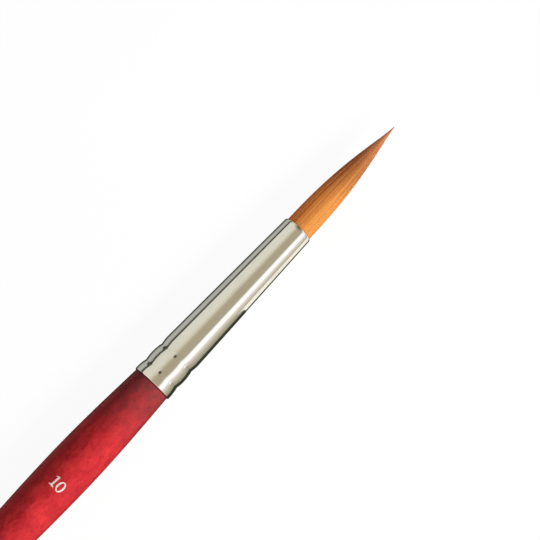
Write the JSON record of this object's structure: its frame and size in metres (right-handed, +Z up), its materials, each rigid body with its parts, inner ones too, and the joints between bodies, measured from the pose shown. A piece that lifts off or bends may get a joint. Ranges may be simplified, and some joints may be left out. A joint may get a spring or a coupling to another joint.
{
  "type": "round paint brush",
  "caption": "Round watercolour brush: a red lacquered turned handle, a crimped nickel ferrule and a pointed tuft of amber filaments, for fine lines and washes.",
  "frame": {"origin": "on the surface that the brush lies on, under the middle of its length and its axis", "axes": "+X along the brush, from the butt of the handle to the point of the hair; +Z up from the surface"},
  "size_m": [0.2058, 0.0102, 0.0103],
  "materials": {
    "red_lacquer": "satin",
    "nickel_plate": "polished",
    "amber_filament": "satin",
    "linen_thread": "matte",
    "cured_resin": "gloss",
    "wood_glue": "satin"
  },
  "bodies": {
    "root": {"handle": "red_lacquer", "ferrule": "nickel_plate", "hair_tuft": "amber_filament", "binding_thread": "linen_thread", "root_adhesive": "cured_resin", "tenon_glue": "wood_glue"}
  },
  "joints": []
}
